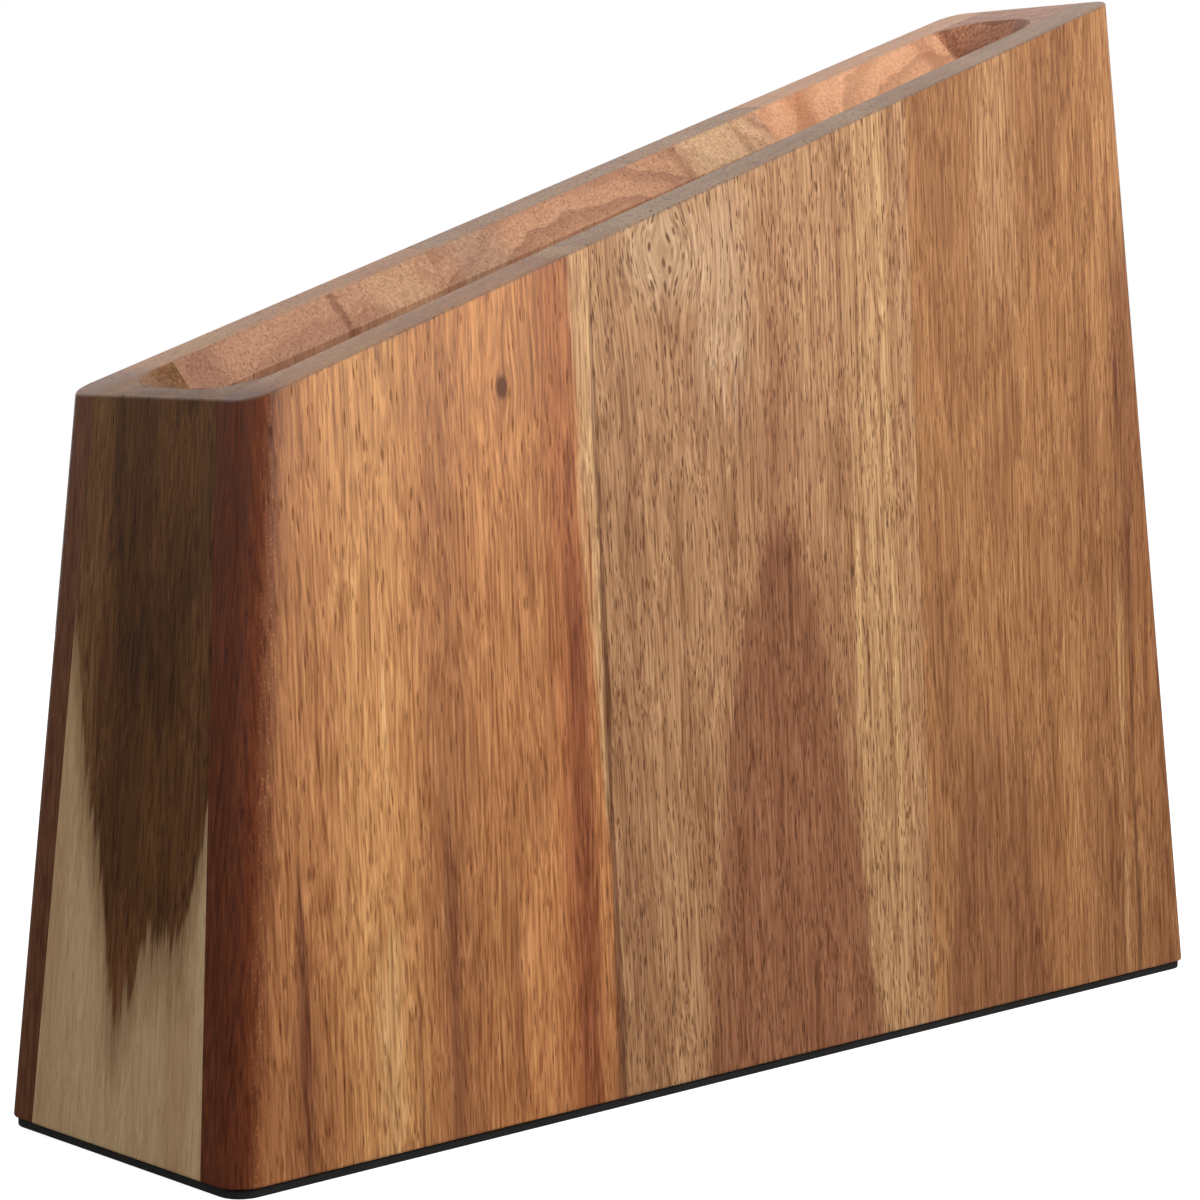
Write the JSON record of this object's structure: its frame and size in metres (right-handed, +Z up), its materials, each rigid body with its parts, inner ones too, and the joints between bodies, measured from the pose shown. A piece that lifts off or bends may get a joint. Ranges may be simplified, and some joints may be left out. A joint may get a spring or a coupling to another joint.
{
  "type": "knife block",
  "caption": "Free-standing slant-top hardwood knife block: leaning two-layer walls, a long funnel-mouthed slot between end blocks, hidden magnets and a non-slip mat.",
  "frame": {"origin": "on the standing plane, under the middle of the mat's underside", "axes": "+X from the low end to the high end, +Y from the front panel to the back panel, +Z up"},
  "size_m": [0.34, 0.09, 0.2733],
  "materials": {
    "panel_low_wood": "oiled satin",
    "panel_middle_wood": "oiled satin",
    "panel_high_wood": "oiled satin",
    "liner_wood": "oiled end grain on the bevel",
    "low_end_wood": "oiled satin",
    "high_end_wood": "oiled satin",
    "floor_wood": "plain",
    "magnet_ferrite": "matt",
    "mat_rubber": "matt"
  },
  "bodies": {
    "root": {"front_panel_low_board": "panel_low_wood", "front_panel_middle_board": "panel_middle_wood", "front_panel_high_board": "panel_high_wood", "back_panel_low_board": "panel_low_wood", "back_panel_middle_board": "panel_middle_wood", "back_panel_high_board": "panel_high_wood", "front_liner_low_board": "liner_wood", "front_liner_middle_board": "liner_wood", "front_liner_high_board": "liner_wood", "back_liner_low_board": "liner_wood", "back_liner_middle_board": "liner_wood", "back_liner_high_board": "liner_wood", "low_end_block": "low_end_wood", "high_end_block": "high_end_wood", "floor_board": "floor_wood", "non_slip_mat": "mat_rubber", "front_low_upper_magnet": "magnet_ferrite", "front_low_lower_magnet": "magnet_ferrite", "front_middle_upper_magnet": "magnet_ferrite", "front_middle_lower_magnet": "magnet_ferrite", "front_high_upper_magnet": "magnet_ferrite", "front_high_lower_magnet": "magnet_ferrite", "back_low_upper_magnet": "magnet_ferrite", "back_low_lower_magnet": "magnet_ferrite", "back_middle_upper_magnet": "magnet_ferrite", "back_middle_lower_magnet": "magnet_ferrite", "back_high_upper_magnet": "magnet_ferrite", "back_high_lower_magnet": "magnet_ferrite"}
  },
  "joints": []
}
